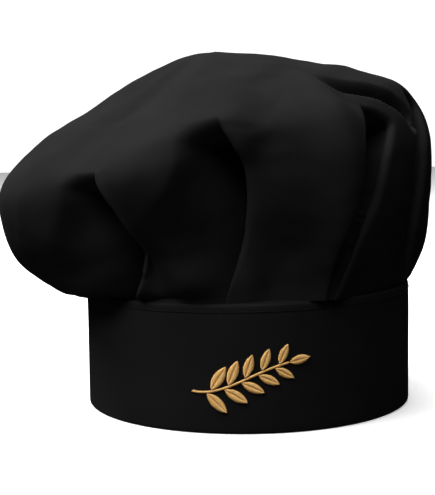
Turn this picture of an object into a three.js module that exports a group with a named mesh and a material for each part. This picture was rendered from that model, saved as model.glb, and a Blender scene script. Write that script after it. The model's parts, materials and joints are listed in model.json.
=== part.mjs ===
// A floppy chef's toque: a round cloth crown pleated into a stiffened band, which closes at the back with a
// hook-and-loop tab. Millimetres, +Z up. The origin is the middle of the head opening, at the rim the hat stands on.
// Azimuths are in degrees: 0 is the front (-Y), 90 is +X, 180 is the back, -90 is -X.

import * as THREE from "three";

// Driving dimensions
const BAND_RADIUS = 95; // outer face of the band, closed for a head of about 580 mm
const BAND_HEIGHT = 69.5;
const BAND_LEAN = 1.2; // the top edge is this much higher at +X, and lower at -X
const CLOTH = 0.6; // one leaf of the band, with its share of the glue
const STIFFENER = 0.8;
const TAPE = 1.0; // hook or loop tape
const GAP = 0.3; // play between neighbouring layers
const THREAD = 0.5;

// Where the band starts, ends and closes
const LAP_START = -197; // free end of the band, under the tab
const TONGUE_START = -208; // the tongue sewn into that end closes the slot beside it
const TONGUE_END = -192;
const BAND_END = 161.5; // where the band has climbed over its own free end
const TAB_START = 163;
const TAB_END = 199;
const CLIMB_START = 112; // the band starts to climb here

// Layers of the band, as radii at rest
const BACKING_OUTER = BAND_RADIUS - CLOTH - GAP;
const BACKING = 0.3;
const STIFFENER_OUTER = BACKING_OUTER - BACKING - GAP;
const LINING_OUTER = STIFFENER_OUTER - STIFFENER - GAP;
const LINING_INNER = LINING_OUTER - CLOTH;

// Layers of the closure, from the band's face out
const LOOP_INNER = BAND_RADIUS + GAP;
const HOOK_INNER = LOOP_INNER + TAPE + GAP;
const TAB_INNER = HOOK_INNER + TAPE + GAP;
const TAB_THICKNESS = 2 * CLOTH + STIFFENER + 2 * GAP;
const TAB_OUTER = TAB_INNER + TAB_THICKNESS;
const CLIMB = TAB_OUTER - BAND_RADIUS;

// Small trim
const SEAM_ALLOWANCE = 9; // of the crown, held between the leaves of the band
const EDGE_STITCH = 5; // below the band's top edge
const TAB_MARGIN = 2; // the tab is this much shorter than the band at top and bottom
const TAB_CORNER = 12;
const TAPE_LOW = 23;
const TAPE_HIGH = 48;

const DEGREES_PER_STEP = 5;

const radians = THREE.MathUtils.degToRad;
const smooth = (x) => THREE.MathUtils.smoothstep(x, 0, 1);

function bandPoint(azimuth, radius, height) {
  const a = radians(azimuth);
  return new THREE.Vector3(radius * Math.sin(a), -radius * Math.cos(a), height);
}

// How far the band stands out where it climbs over its own free end.
function climb(azimuth) {
  return CLIMB * smooth((azimuth - CLIMB_START) / (BAND_END - 4 - CLIMB_START));
}

function topEdge(azimuth) {
  return BAND_HEIGHT + BAND_LEAN * Math.sin(radians(azimuth));
}

// Materials

const material = (name, color, roughness) =>
  new THREE.MeshStandardMaterial({ name, color, roughness, metalness: 0 });
const blackCloth = material("black_cloth", 0x151516, 0.85);
const blackTape = material("black_tape", 0x101011, 0.95);
const blackThread = material("black_thread", 0x19191a, 0.6);
const goldThread = material("gold_thread", 0xd89a4a, 0.45);
const whiteFelt = material("white_felt", 0xd9d9d4, 0.95);
const labelSatin = material("label_satin", 0xe9e8e4, 0.5);

const hat = new THREE.Group();
hat.name = "chef_toque";

function add(name, geometry, surface) {
  geometry.deleteAttribute("uv");
  const mesh = new THREE.Mesh(geometry, surface);
  mesh.name = name;
  hat.add(mesh);
}

// A section of radii and heights, swept round the head from one azimuth to another. place(radius, height, azimuth)
// says where each corner of the section goes.
function sweep(section, from, to, place) {
  const steps = Math.ceil((to - from) / DEGREES_PER_STEP);
  const outline = new THREE.Shape(section.map(([r, z]) => new THREE.Vector2(r, z)));
  const geometry = new THREE.ExtrudeGeometry(outline, { depth: 1, steps, bevelEnabled: false });
  const corners = geometry.getAttribute("position");
  for (let i = 0; i < corners.count; i++) {
    const azimuth = to - corners.getZ(i) * (to - from);
    const at = place(corners.getX(i), corners.getY(i), azimuth);
    corners.setXYZ(i, at.x, at.y, at.z);
  }
  return geometry;
}

const rectangle = (inner, outer, low, high) => [[inner, low], [outer, low], [outer, high], [inner, high]];

// A strip folded along its lower edge: outer leaf, fold and lining leaf.
function foldedStrip(inner, outer, height) {
  return [
    [inner, CLOTH], [inner + CLOTH, 0], [outer - CLOTH, 0], [outer, CLOTH], [outer, height],
    [outer - CLOTH, height], [outer - CLOTH, CLOTH], [inner + CLOTH, CLOTH], [inner + CLOTH, height],
    [inner, height],
  ];
}

// Band: cloth, stiffener and the felt behind the embroidery

const onBand = (radius, height, azimuth) =>
  bandPoint(azimuth, radius + climb(azimuth), (height * topEdge(azimuth)) / BAND_HEIGHT);

const bandSection = foldedStrip(LINING_INNER, BAND_RADIUS, BAND_HEIGHT);
add("band_cloth", sweep(bandSection, LAP_START, BAND_END, onBand), blackCloth);

const stiffenerHigh = BAND_HEIGHT - SEAM_ALLOWANCE - 1;
const stiffenerSection = rectangle(STIFFENER_OUTER - STIFFENER, STIFFENER_OUTER, CLOTH + GAP, stiffenerHigh);
add("band_stiffener", sweep(stiffenerSection, TONGUE_END + 1, BAND_END - 1, onBand), whiteFelt);

const tongueSection = rectangle(LINING_OUTER + GAP, BACKING_OUTER, 3, stiffenerHigh - 1);
add("band_tongue", sweep(tongueSection, TONGUE_START, TONGUE_END, onBand), blackCloth);

const backingSection = rectangle(BACKING_OUTER - BACKING, BACKING_OUTER, 8, 57);
add("embroidery_backing", sweep(backingSection, -24, 24, onBand), whiteFelt);

// Tab: a shorter folded strip with round corners at its free end

function tabHeight(height, azimuth) {
  const toEnd = radians(TAB_END - azimuth) * TAB_OUTER;
  const into = Math.max(0, TAB_CORNER - toEnd);
  const cut = TAB_CORNER - Math.sqrt(Math.max(0, TAB_CORNER ** 2 - into ** 2));
  const low = TAB_MARGIN + cut * 0.85;
  const high = BAND_HEIGHT - TAB_MARGIN - cut * 0.85;
  return low + (height / BAND_HEIGHT) * (high - low);
}
const onTab = (radius, height, azimuth) => bandPoint(azimuth, radius, tabHeight(height, azimuth));
const plain = (radius, height, azimuth) => bandPoint(azimuth, radius, height);

add("tab_cloth", sweep(foldedStrip(TAB_INNER, TAB_OUTER, BAND_HEIGHT), TAB_START, TAB_END, onTab), blackCloth);
const tabStiffenerInner = TAB_INNER + CLOTH + GAP;
const tabStiffener = rectangle(tabStiffenerInner, tabStiffenerInner + STIFFENER, 4, BAND_HEIGHT - 4);
add("tab_stiffener", sweep(tabStiffener, TAB_START + 1, TAB_END - 8, onTab), whiteFelt);

const hookTape = rectangle(HOOK_INNER, HOOK_INNER + TAPE, TAPE_LOW, TAPE_HIGH);
add("hook_tape", sweep(hookTape, 168, 195, plain), blackTape);
const loopTape = rectangle(LOOP_INNER, LOOP_INNER + TAPE, TAPE_LOW, TAPE_HIGH);
add("loop_tape", sweep(loopTape, 166, 214, plain), blackTape);

// Sewing thread, laid along a path of [azimuth, height] points at one radius

const threadSection = () =>
  new THREE.Shape([
    new THREE.Vector2(-THREAD / 2, -THREAD / 2), new THREE.Vector2(THREAD / 2, -THREAD / 2),
    new THREE.Vector2(THREAD / 2, THREAD / 2), new THREE.Vector2(-THREAD / 2, THREAD / 2),
  ]);

function thread(points, radiusAt, steps) {
  const route = points.map(([azimuth, height]) => bandPoint(azimuth, radiusAt(azimuth), height));
  const curve = new THREE.CatmullRomCurve3(route, false, "centripetal");
  return new THREE.ExtrudeGeometry(threadSection(), { steps, extrudePath: curve });
}

const threadFace = GAP + THREAD / 2; // from a cloth face to the middle of the thread
const seamRow = rectangle(BAND_RADIUS + GAP, BAND_RADIUS + GAP + THREAD, 0, THREAD);
const onSeamRow = (radius, height, azimuth) =>
  bandPoint(azimuth, radius + climb(azimuth), topEdge(azimuth) - EDGE_STITCH + height);
add("band_top_stitch", sweep(seamRow, LAP_START + 0.6, BAND_END - 0.6, onSeamRow), blackThread);

// A row of stitching round a tape: an open frame of four sides.
function stitchedFrame(from, to, radius) {
  const low = TAPE_LOW + 2;
  const high = TAPE_HIGH - 2;
  const across = [0, 1 / 3, 2 / 3, 1].map((share) => from + (to - from) * share);
  const path = [
    ...across.map((azimuth) => [azimuth, low]),
    [to, (low + high) / 2],
    ...across.toReversed().map((azimuth) => [azimuth, high]),
    [from, (low + high) / 2],
    [from, low + 1.5],
  ];
  return thread(path, () => radius, 44);
}
add("hook_stitch", stitchedFrame(169.5, 193.5, TAB_OUTER + threadFace), blackThread);
add("loop_stitch", stitchedFrame(167.5, 212.5, LINING_INNER - threadFace), blackThread);

const edgeAzimuths = [TAB_START + 1, 172, 181, 188, 192.5];
const tabEdgeLow = TAB_MARGIN + 4;
const tabEdgeHigh = BAND_HEIGHT - TAB_MARGIN - 4;
const tabEdge = [
  ...edgeAzimuths.map((azimuth) => [azimuth, tabEdgeLow]),
  [195.8, 12], [196.6, 24], [196.6, 47], [195.8, 59],
  ...edgeAzimuths.toReversed().map((azimuth) => [azimuth, tabEdgeHigh]),
];
add("tab_edge_stitch", thread(tabEdge, () => TAB_OUTER + threadFace, 60), blackThread);

const lapStitch = [[LAP_START + 2, 4], [LAP_START + 2, 20], [LAP_START + 2, 45], [LAP_START + 2, 62]];
add("band_end_stitch", thread(lapStitch, () => LINING_INNER - threadFace, 6), blackThread);

// Labels, sewn by their top edge inside the band

const labelInner = LINING_INNER - GAP - 0.6;
add("care_label", sweep(rectangle(labelInner, labelInner + 0.6, 28, 64), 120, 136, onBand), labelSatin);
add("size_label", sweep(rectangle(labelInner, labelInner + 0.6, 50, 64), 139, 147, onBand), labelSatin);

// Embroidery: a leafy sprig in satin stitch. Its flat pattern is in millimetres from the middle of the motif.

const SPRIG_HEIGHT = 32; // middle of the motif above the rim
const SPRIG_FACE = BAND_RADIUS + GAP + 0.1;
const SPRIG_THICKNESS = 0.7;
const stem = new THREE.CubicBezierCurve(
  new THREE.Vector2(-30, -9), new THREE.Vector2(-14, -12), new THREE.Vector2(2, 2), new THREE.Vector2(21, 6),
);
const LEAF_PAIRS = 5;
const LEAF_LENGTH = 14.5;
const LEAF_WIDTH = 6.2;
const LEAF_SPREAD = radians(48);

const onFront = (x, y, out) =>
  bandPoint(THREE.MathUtils.radToDeg(x / BAND_RADIUS), SPRIG_FACE + out, SPRIG_HEIGHT + y);

// A pointed leaf along +X from its base, turned to its direction on the flat pattern and bent on to the band.
function leaf(base, direction, length, width) {
  const outline = new THREE.Shape();
  outline.moveTo(0, 0);
  outline.bezierCurveTo(length * 0.25, -width * 0.62, length * 0.7, -width * 0.62, length, 0);
  outline.bezierCurveTo(length * 0.7, width * 0.62, length * 0.25, width * 0.62, 0, 0);
  const geometry = new THREE.ExtrudeGeometry(outline, {
    depth: SPRIG_THICKNESS, bevelEnabled: false, curveSegments: 7,
  });
  const corners = geometry.getAttribute("position");
  for (let i = 0; i < corners.count; i++) {
    const along = new THREE.Vector2(corners.getX(i), corners.getY(i)).rotateAround(new THREE.Vector2(), direction);
    const at = onFront(base.x + along.x, base.y + along.y, corners.getZ(i));
    corners.setXYZ(i, at.x, at.y, at.z);
  }
  return geometry;
}

const stemRoute = stem.getPoints(12).map((p) => onFront(p.x, p.y, SPRIG_THICKNESS / 2));
const stemSection = new THREE.Shape().absarc(0, 0, SPRIG_THICKNESS / 2, 0, 2 * Math.PI);
add(
  "sprig_stem",
  new THREE.ExtrudeGeometry(stemSection, {
    steps: 24, curveSegments: 3, extrudePath: new THREE.CatmullRomCurve3(stemRoute),
  }),
  goldThread,
);

const LEAF_CLEAR = 1.3; // from the stem's middle to a leaf's base
for (let pair = 0; pair < LEAF_PAIRS; pair++) {
  for (const [side, name] of [[1, "upper"], [-1, "lower"]]) {
    const along = 0.13 + pair * 0.18 + (side > 0 ? 0.05 : 0);
    const from = stem.getPointAt(along);
    const direction = stem.getTangentAt(along).angle() + side * LEAF_SPREAD;
    const size = 1 - 0.06 * pair;
    const base = from.add(new THREE.Vector2(Math.cos(direction), Math.sin(direction)).multiplyScalar(LEAF_CLEAR));
    const shape = leaf(base, direction, LEAF_LENGTH * size, LEAF_WIDTH * size);
    add(`sprig_leaf_${name}_${pair + 1}`, shape, goldThread);
  }
}
const tipDirection = stem.getTangent(1);
const tipBase = stem.getPoint(1).addScaledVector(tipDirection, 0.8);
add("sprig_leaf_tip", leaf(tipBase, tipDirection.angle(), LEAF_LENGTH * 0.78, LEAF_WIDTH * 0.8), goldThread);

// Crown: one round of cloth. Four profiles, from the seam in the band up and over to the middle of the top, blend
// round the head. Each point is a distance from the crown's axis and a height.

const SEAM_RADIUS = (BAND_RADIUS - CLOTH + LINING_OUTER) / 2;
const CROWN_CLOTH = 1.2;
const CROWN_TOP = 204.5;
const CROWN_LEAN = -17; // the middle of the top lies this far to -X
const profile = (points) => new THREE.SplineCurve(points.map(([r, z]) => new THREE.Vector2(r, z)));
const seam = [SEAM_RADIUS, BAND_HEIGHT];
const top = [0, CROWN_TOP];
const profiles = {
  front: profile([seam, [94.5, 80], [97.5, 92], [104, 109], [110, 130], [111.5, 150], [102, 168], [70, 184.5],
    [42, 195.5], top]),
  right: profile([seam, [95.5, 73], [100.5, 88], [106.5, 108], [109.5, 138], [108, 161], [94.5, 182], [56, 195], top]),
  back: profile([seam, [95, 75], [104, 81], [116, 97], [124, 126], [115, 152], [87, 176], [45, 195], top]),
  left: profile([seam, [93.8, 72], [96.8, 70.2], [98.4, 63.8], [104.5, 62.3], [123, 72.5], [139, 94], [142, 125],
    [116, 152], [73, 178], [36, 196], top]),
};

// Pleats run up from the seam. Each has its azimuths at the seam, a third and two thirds of the way up and at its
// top, how far up it reaches, and how deep it is.
const pleats = [
  { azimuths: [-40, -31, -32.5, -40], reach: 0.38, depth: 12 },
  { azimuths: [-7, 0, 2, -6], reach: 0.48, depth: 13 },
  { azimuths: [26, 28, 32.5, 42], reach: 0.5, depth: 13 },
  { azimuths: [69, 62.5, 63.5, 72], reach: 0.54, depth: 12 },
  { azimuths: [104, 100, 98, 96], reach: 0.5, depth: 12 },
  { azimuths: [136, 133, 131, 130], reach: 0.48, depth: 13 },
  { azimuths: [166, 164, 161, 159], reach: 0.52, depth: 13 },
  { azimuths: [-168, -165, -166, -171], reach: 0.46, depth: 13 },
  { azimuths: [-140, -144, -143, -139], reach: 0.5, depth: 14 },
  { azimuths: [-111, -116, -118, -120], reach: 0.42, depth: 13 },
  { azimuths: [-77, -79, -82, -84], reach: 0.22, depth: 5 },
].map(({ azimuths, reach, depth }) => ({
  reach, depth, path: new THREE.SplineCurve(azimuths.map((azimuth) => new THREE.Vector2(azimuth, 0))),
}));
const PLEAT_HALF_WIDTH = 9; // degrees
const PLEAT_START = 0.04; // clear of the band's edge

function pleatDepth(azimuth, share) {
  let depth = 0;
  for (const { path, reach, depth: deepest } of pleats) {
    const up = share / reach;
    if (up >= 1) continue;
    const aside = THREE.MathUtils.euclideanModulo(azimuth - path.getPoint(up).x + 180, 360) - 180;
    const fade = smooth((share - PLEAT_START) / 0.13) * (1 - smooth((up - 0.45) / 0.55));
    depth += deepest * fade * Math.exp(-((aside / PLEAT_HALF_WIDTH) ** 2));
  }
  return depth;
}

// A point of the crown's outer face. share runs from 0 at the seam to 1 at the middle of the top.
function crownPoint(azimuth, share) {
  const a = radians(azimuth);
  const weights = {
    front: Math.max(0, Math.cos(a)) ** 2,
    back: Math.max(0, -Math.cos(a)) ** 2,
    right: Math.max(0, Math.sin(a)) ** 2,
    left: Math.max(0, -Math.sin(a)) ** 2,
  };
  let out = 0;
  let up = 0;
  for (const side of Object.keys(weights)) {
    const at = profiles[side].getPointAt(share);
    out += weights[side] * at.x;
    up += weights[side] * at.y;
  }
  const nearSeam = 1 - smooth(share / 0.12);
  out += climb(azimuth) * nearSeam - pleatDepth(azimuth, share);
  up += (topEdge(azimuth) - BAND_HEIGHT) * nearSeam;
  const lean = CROWN_LEAN * share ** 2;
  return new THREE.Vector3(lean + out * Math.sin(a), -out * Math.cos(a), up);
}

// The matching point of the inner face, one cloth thickness in along the surface's normal.
function crownLining(azimuth, share) {
  if (share > 0.99) return crownPoint(0, 1).add(new THREE.Vector3(0, 0, -CROWN_CLOTH));
  const at = crownPoint(azimuth, share);
  const round = crownPoint(azimuth + 3, share).sub(crownPoint(azimuth - 3, share));
  const upwards = crownPoint(azimuth, share + 0.012).sub(crownPoint(azimuth, Math.max(0, share - 0.012)));
  return at.addScaledVector(round.cross(upwards).normalize(), -CROWN_CLOTH);
}

const CROWN_ROWS = [0, 0.01, 0.02, 0.032, 0.045, 0.06, 0.078, 0.1, 0.13, 0.17, 0.22, 0.28, 0.34, 0.4, 0.46, 0.52,
  0.59, 0.67, 0.76, 0.86, 0.94];
const crownColumns = [...Array(71).keys()].map((step) => LAP_START + step * 5).filter((azimuth) => azimuth < BAND_END);
crownColumns.push(BAND_END, LAP_START + 360);

// A round of points from the inner middle of the top, down to the seam, and back up outside.
function crownColumn(azimuth) {
  const seamAzimuth = azimuth > BAND_END ? azimuth - 360 : azimuth;
  const radius = SEAM_RADIUS + climb(seamAzimuth);
  const low = topEdge(azimuth) - SEAM_ALLOWANCE;
  const half = CROWN_CLOTH / 2;
  const outer = CROWN_ROWS.map((share) => crownPoint(seamAzimuth, share));
  const inner = CROWN_ROWS.map((share) => crownLining(seamAzimuth, share));
  outer[0] = bandPoint(azimuth, radius + half, topEdge(azimuth));
  inner[0] = bandPoint(azimuth, radius - half, topEdge(azimuth));
  return [
    crownLining(0, 1), ...inner.toReversed(), bandPoint(azimuth, radius - half, low),
    bandPoint(azimuth, radius + half, low), ...outer, crownPoint(0, 1),
  ];
}

const rowCount = 2 * CROWN_ROWS.length + 4;
const crownGeometry = new THREE.LatheGeometry(
  [...Array(rowCount).keys()].map((row) => new THREE.Vector2(1, row)),
  crownColumns.length - 1,
);
const crownCorners = crownGeometry.getAttribute("position");
crownColumns.forEach((azimuth, column) => {
  crownColumn(azimuth).forEach((at, row) => {
    crownCorners.setXYZ(column * rowCount + row, at.x, at.y, at.z);
  });
});
add("crown_cloth", crownGeometry, blackCloth);

export default hat;
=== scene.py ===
"""A black chef's toque: a round cloth crown pleated into a stiffened band that closes at the back with a tab.

Metres, +Z up, front at -Y. Azimuths are degrees round the head: 0 is the front, 90 is +X, 180 the back.
"""

import json
import math

import bmesh
import bpy
import numpy as np
from mathutils import Matrix, Vector


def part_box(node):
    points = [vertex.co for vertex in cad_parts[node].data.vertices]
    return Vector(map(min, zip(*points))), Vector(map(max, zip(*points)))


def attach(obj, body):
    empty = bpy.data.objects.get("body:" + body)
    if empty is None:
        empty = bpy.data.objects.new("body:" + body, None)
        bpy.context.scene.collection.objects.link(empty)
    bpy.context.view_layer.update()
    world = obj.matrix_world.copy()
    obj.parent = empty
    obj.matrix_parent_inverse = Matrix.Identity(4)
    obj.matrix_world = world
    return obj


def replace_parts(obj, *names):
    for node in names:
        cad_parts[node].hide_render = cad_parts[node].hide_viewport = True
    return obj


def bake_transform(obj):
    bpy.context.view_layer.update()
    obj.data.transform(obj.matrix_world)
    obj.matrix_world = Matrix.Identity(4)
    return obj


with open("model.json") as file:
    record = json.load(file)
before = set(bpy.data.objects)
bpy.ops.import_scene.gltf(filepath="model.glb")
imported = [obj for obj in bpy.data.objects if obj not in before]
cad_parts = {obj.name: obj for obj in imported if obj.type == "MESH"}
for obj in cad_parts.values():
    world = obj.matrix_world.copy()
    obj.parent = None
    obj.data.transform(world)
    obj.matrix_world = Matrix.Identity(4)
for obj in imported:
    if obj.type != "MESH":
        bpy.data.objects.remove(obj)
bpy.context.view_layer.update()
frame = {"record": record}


# Camera. It stands a step back from the front of the hat and looks slightly down on it, turned and rolled
# by about a degree. Angles are in radians.

CAMERA_AT = Vector((0, -0.7478, 0.1693))
CAMERA_DOWN = 0.1066
CAMERA_TURN = -0.0233
CAMERA_ROLL = 0.0151
LENS_MM = 92.16

camera = bpy.data.objects.new("camera", bpy.data.cameras.new("camera"))
bpy.context.scene.collection.objects.link(camera)
camera.data.lens = LENS_MM
camera.data.sensor_width = 36
camera.data.clip_start = 0.01
camera.matrix_world = (
    Matrix.Translation(CAMERA_AT)
    @ Matrix.Rotation(-CAMERA_TURN, 4, "Z")
    @ Matrix.Rotation(math.pi / 2 - CAMERA_DOWN, 4, "X")
    @ Matrix.Rotation(-CAMERA_ROLL, 4, "Z")
)
bpy.context.scene.camera = camera


# Crown. One round of black cotton twill, 0.46 m across, whose rim is laid in eleven pleats and sewn into the
# top of the band. It slumps to the wearer's right, and each pleat opens above the seam into a rolled edge over
# a hollow.

OPENING_RADIUS = frame["record"]["mounts"][1]["dims"]["r_mm"] / 1000
BAND_RADIUS = OPENING_RADIUS + 0.0032
SEAM_RADIUS = OPENING_RADIUS + 0.0016
BAND_LEAN = 0.0012
BAND_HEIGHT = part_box("band_cloth")[1].z - BAND_LEAN
CROWN_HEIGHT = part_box("crown_cloth")[1].z
CROWN_LEAN = -0.017
CROWN_ROUND = 0.46
CROWN_RISE = 0.27
CROWN_THICKNESS = 0.0006
CROWN_TUCK = 0.008
CROWN_ROWS = 180
PANEL_COLUMNS = 50

BAND_END = 161.5
LAP_START = 163
CLIMB = 0.0055
CLIMB_START = 112


def ease(x):
    """0 below 0 and 1 above 1, with a smooth turn between."""
    x = np.clip(x, 0, 1)
    return x * x * (3 - 2 * x)


def smooth_curve(points, at):
    """The smooth curve through given points, evenly spaced in at from 0 to 1."""
    points = np.array(points, float)
    last = len(points) - 1
    place = np.clip(np.asarray(at, float) * last, 0, last - 1e-9)
    first = place.astype(int)
    share = (place - first)[..., None]
    before = points[np.maximum(first - 1, 0)]
    start = points[first]
    end = points[first + 1]
    after = points[np.minimum(first + 2, last)]
    leave = (end - before) / 2
    arrive = (after - start) / 2
    bend = (2 * (start - end) + leave + arrive) * share**3
    return bend + (3 * (end - start) - 2 * leave - arrive) * share**2 + leave * share + start


def by_length(points, shares):
    """Points of a smooth curve at shares of its length."""
    fine = smooth_curve(points, np.linspace(0, 1, 600))
    length = np.concatenate([[0], np.cumsum(np.linalg.norm(np.diff(fine, axis=0), axis=1))])
    return np.stack([np.interp(shares * length[-1], length, side) for side in fine.T], -1)


def round_head(azimuth, radius, height):
    """Points at those azimuths, distances from the hat's axis and heights."""
    turn = np.radians(azimuth)
    azimuth, radius, height = np.broadcast_arrays(azimuth, radius, height)
    return np.stack([radius * np.sin(turn), -radius * np.cos(turn), height], -1)


def climb(azimuth):
    """How far the band stands out where it climbs over its own free end."""
    azimuth = np.mod(azimuth, 360)
    return CLIMB * ease((azimuth - CLIMB_START) / (BAND_END - 4 - CLIMB_START)) * (azimuth < 162.2)


def top_edge(azimuth):
    """Height of the band's upper edge, which leans a little."""
    return BAND_HEIGHT + BAND_LEAN * np.sin(np.radians(azimuth))


# The crown's side at six azimuths, as radius and height from the seam to the top.
SEAM = (SEAM_RADIUS, BAND_HEIGHT)
TOP = (0, CROWN_HEIGHT)
PROFILES = {
    0: [SEAM, (0.0940, 0.078), (0.0962, 0.088), (0.1010, 0.103), (0.1070, 0.120), (0.1120, 0.137),
        (0.1140, 0.151), (0.1105, 0.1645), (0.0965, 0.1757), (0.073, 0.1865), (0.044, 0.1965),
        (0.018, 0.2035), TOP],
    90: [SEAM, (0.0965, 0.0735), (0.0995, 0.086), (0.1045, 0.106), (0.1090, 0.138), (0.108, 0.161),
         (0.0955, 0.182), (0.078, 0.1905), (0.055, 0.197), (0.022, 0.203), TOP],
    180: [SEAM, (0.095, 0.075), (0.104, 0.081), (0.116, 0.097), (0.124, 0.126), (0.115, 0.152),
          (0.087, 0.176), (0.045, 0.1955), (0.018, 0.2035), TOP],
    270: [SEAM, (0.0938, 0.072), (0.0968, 0.0710), (0.0990, 0.0668), (0.108, 0.0648), (0.1245, 0.0745),
          (0.1405, 0.0955), (0.143, 0.125), (0.116, 0.152), (0.073, 0.178), (0.036, 0.1965),
          (0.016, 0.2035), TOP],
    300: [SEAM, (0.0938, 0.0718), (0.0975, 0.0712), (0.103, 0.0698), (0.111, 0.0730), (0.1205, 0.0830),
          (0.1345, 0.097), (0.1410, 0.117), (0.1385, 0.131), (0.127, 0.144), (0.106, 0.157),
          (0.072, 0.1750), (0.037, 0.194), (0.016, 0.2025), TOP],
    315: [SEAM, (0.0938, 0.0718), (0.0975, 0.0712), (0.103, 0.0725), (0.110, 0.080), (0.117, 0.093),
          (0.1245, 0.111), (0.1285, 0.126), (0.1260, 0.137), (0.114, 0.147), (0.092, 0.159),
          (0.066, 0.174), (0.038, 0.191), (0.016, 0.2025), TOP],
}

# Each pleat: azimuths at the seam, a third and two thirds of the way up and at its top; reach up the crown;
# share of the bulge that the hollow takes; width of its floor low down and high up; width of the slope beyond,
# or 0 where the far side is rolled too; the side it lies on; radius of the rolled edge.
PLEATS = [
    ((-77, -79, -82, -84), 0.22, 0.12, (0, 0), 0.020, -1, 0.0012),
    ((-40, -30.5, -33, -38), 0.38, 1.1, (0.001, 0.003), 0.054, -1, 0.0035),
    ((-7, -0.1, 1.2, -5.5), 0.475, 1.2, (0.001, 0.004), 0.060, -1, 0.0065),
    ((25.5, 26.6, 31, 39), 0.50, 2.2, (0.001, 0.0165), 0, 1, 0.0020),
    ((68, 60, 60.5, 70), 0.55, 1.4, (0.002, 0.012), 0, 1, 0.0026),
    ((104, 100, 98, 97), 0.5, 0.6, (0.002, 0.004), 0.030, 1, 0.0030),
    ((134, 131, 129, 128), 0.48, 0.6, (0.002, 0.003), 0.034, 1, 0.0030),
    ((162.2, 161, 158, 156), 0.52, 0.6, (0.002, 0.004), 0.038, 1, 0.0030),
    ((193, 196, 195, 190), 0.46, 0.6, (0.001, 0.002), 0.040, -1, 0.0030),
    ((221, 217, 218, 222), 0.5, 0.6, (0.001, 0.002), 0.042, -1, 0.0030),
    ((250, 245, 243, 241), 0.42, 0.55, (0.001, 0.002), 0.042, -1, 0.0028),
]
FAR_ROLL = 0.0032
# How much lighter the pleats' rolled edges are drawn: rubbed wear, and painted highlight along their crests.
RIDGE_RUB_AND_HIGHLIGHT = 0.9
APEX_DEPTH = 0.4
ROLL_TURN = 2.6

# Soft dents, and bulges where the depth is negative: azimuth, share of the way up, half width in metres round
# the crown and up it, and depth.
DENTS = [
    (-26.5, 0.10, 0.008, 0.020, 0.0115),
    (-14, 0.06, 0.018, 0.014, -0.0030),
    (9, 0.22, 0.018, 0.075, 0.0080),
    (8, 0.21, 0.008, 0.060, 0.0045),
    (26, 0.27, 0.012, 0.080, -0.0150),
    (-52, 0.06, 0.020, 0.014, -0.0020),
]

# The long crease high on the right, as azimuths and shares of the way up along its lower edge.
CREASE = [(6, 0.63), (16, 0.60), (27, 0.57), (38, 0.54), (45, 0.515), (50, 0.485), (54, 0.45), (56.5, 0.40)]
CREASE_DEPTH = 0.027
CREASE_FLOOR = 0.011
CREASE_EDGE = 0.006
CREASE_LIP = 0.0012


def pleat_line(azimuths, reach, share):
    """Azimuth of a pleat's edge at shares of the way up the crown."""
    return smooth_curve([(azimuth,) for azimuth in azimuths], np.clip(share / reach, 0, 1))[..., 0]


def crown_grid():
    """Azimuth and share of the way up of every point, in columns that follow the pleats."""
    rows = np.linspace(0, 1, CROWN_ROWS + 1)[:-1] ** 1.22
    lines = np.array([pleat_line(pleat[0], pleat[1], rows) for pleat in PLEATS])
    following = np.vstack([lines[1:], lines[:1] + 360])
    across = np.arange(PANEL_COLUMNS) / PANEL_COLUMNS
    across = 0.5 - 0.5 * np.cos(math.pi * across) * (1 - 0.25 * np.sin(math.pi * across) ** 2)
    azimuth = lines[:, None] + (following - lines)[:, None] * across[None, :, None]
    azimuth = azimuth.reshape(-1, CROWN_ROWS)
    swell = np.tile((4 * across * (1 - across)) ** 0.7 - 0.6, len(PLEATS))[:, None]
    return azimuth, np.broadcast_to(rows, azimuth.shape), swell


def crown_surface(azimuth, share):
    """The smooth crown before it is pleated, and its distance from the hat's axis."""
    turn = np.radians(azimuth)
    radius = 0
    height = BAND_LEAN * np.sin(turn) * (1 - ease(share / 0.12))
    facings = list(PROFILES)
    for place, (facing, points) in enumerate(PROFILES.items()):
        off = np.mod(azimuth - facing + 180, 360) - 180
        before = np.mod(facing - facings[place - 1], 360)
        after = np.mod(facings[(place + 1) % len(facings)] - facing, 360)
        weight = np.cos(math.pi / 2 * np.clip(np.where(off < 0, -off / before, off / after), 0, 1)) ** 2
        profile = by_length(points, share)
        radius = radius + weight * profile[..., 0]
        height = height + weight * profile[..., 1]
    radius = radius + climb(azimuth) * (1 - ease(share / 0.1))
    points = round_head(azimuth, radius, height)
    points[..., 0] += CROWN_LEAN * share**2
    return points, radius


def softer_of(first, second):
    """The smaller of two sizes, with a smooth change from one to the other."""
    return (first**-4.0 + second**-4.0) ** -0.25


def past_edge(azimuth, share, radius, azimuths, reach, side):
    """Metres past a pleat's edge, into its hollow."""
    off = np.mod(azimuth - pleat_line(azimuths, reach, share) + 180, 360) - 180
    return side * np.radians(off) * radius


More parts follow.
